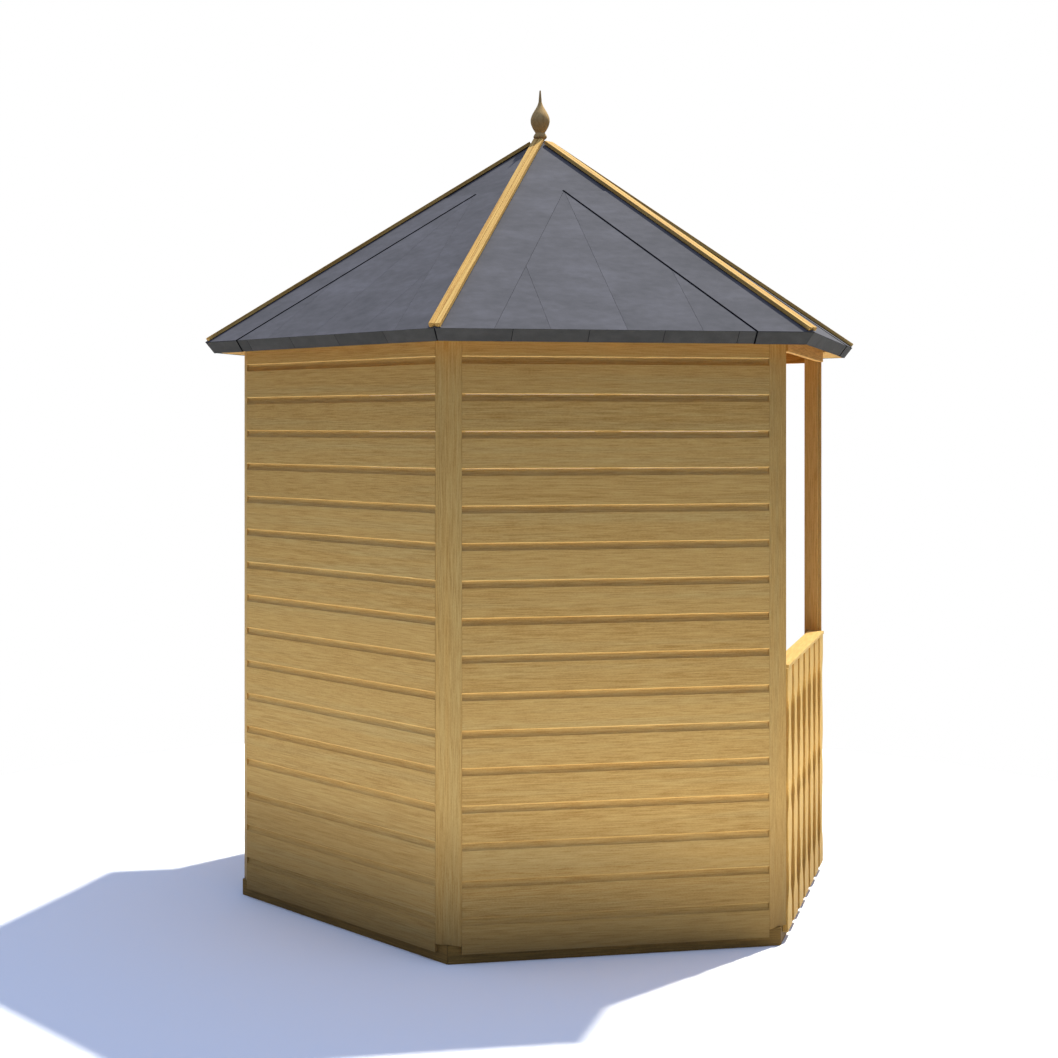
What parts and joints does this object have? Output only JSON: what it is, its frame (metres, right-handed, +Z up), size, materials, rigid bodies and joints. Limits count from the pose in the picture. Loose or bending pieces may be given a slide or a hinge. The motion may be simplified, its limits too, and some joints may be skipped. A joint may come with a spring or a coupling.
{
  "type": "hexagonal timber garden gazebo",
  "caption": "Hexagonal timber gazebo with shiplap walls, half-height slatted panels, an open entrance, a boarded floor and a felted pyramid roof topped by a turned finial.",
  "frame": {"origin": "centre of the base on the ground", "axes": "+Z up, -Y out of the open entrance, +X to the right when standing inside and looking at the back wall"},
  "size_m": [2.3694, 2.068, 2.7996],
  "materials": {
    "cladding_timber": "honey-coloured dip-treated softwood, shiplap boards with level grain",
    "trim_timber": "honey-coloured softwood boards, grain along the board",
    "slat_timber": "honey-coloured sawn slats, upright grain",
    "frame_timber": "planed softwood framing, warm brown",
    "floor_timber": "softwood floor boards",
    "base_timber": "softwood base rim and joists, weathered brown",
    "roof_timber": "softwood roof boards and rafters",
    "cap_timber": "pale softwood hip strips, grain along the hip",
    "roof_felt": "blue-grey roofing felt, matt and slightly mottled",
    "finial_timber": "turned hardwood, brown"
  },
  "bodies": {
    "root": {"floor_frame": "base_timber", "floor_boards": "floor_timber", "back_wall_cladding": "cladding_timber", "left_wall_cladding": "cladding_timber", "right_wall_cladding": "cladding_timber", "back_wall_frame": "frame_timber", "left_wall_frame": "frame_timber", "right_wall_frame": "frame_timber", "left_half_panel_frame": "frame_timber", "left_half_panel_slats": "slat_timber", "left_half_panel_sill": "trim_timber", "right_half_panel_frame": "frame_timber", "right_half_panel_slats": "slat_timber", "right_half_panel_sill": "trim_timber", "entrance_lintel": "frame_timber", "corner_trim_back_right": "trim_timber", "corner_trim_back_left": "trim_timber", "corner_trim_left": "trim_timber", "corner_trim_front_left": "trim_timber", "corner_trim_front_right": "trim_timber", "corner_trim_right": "trim_timber", "roof_panel_back": "roof_timber", "roof_panel_left": "roof_timber", "roof_panel_front_left": "roof_timber", "roof_panel_front": "roof_timber", "roof_panel_front_right": "roof_timber", "roof_panel_right": "roof_timber", "felt_back": "roof_felt", "felt_left": "roof_felt", "felt_front_left": "roof_felt", "felt_front": "roof_felt", "felt_front_right": "roof_felt", "felt_right": "roof_felt", "hip_cap_back_right": "cap_timber", "hip_cap_back_left": "cap_timber", "hip_cap_left": "cap_timber", "hip_cap_front_left": "cap_timber", "hip_cap_front_right": "cap_timber", "hip_cap_right": "cap_timber", "apex_block": "frame_timber", "finial": "finial_timber"}
  },
  "joints": []
}
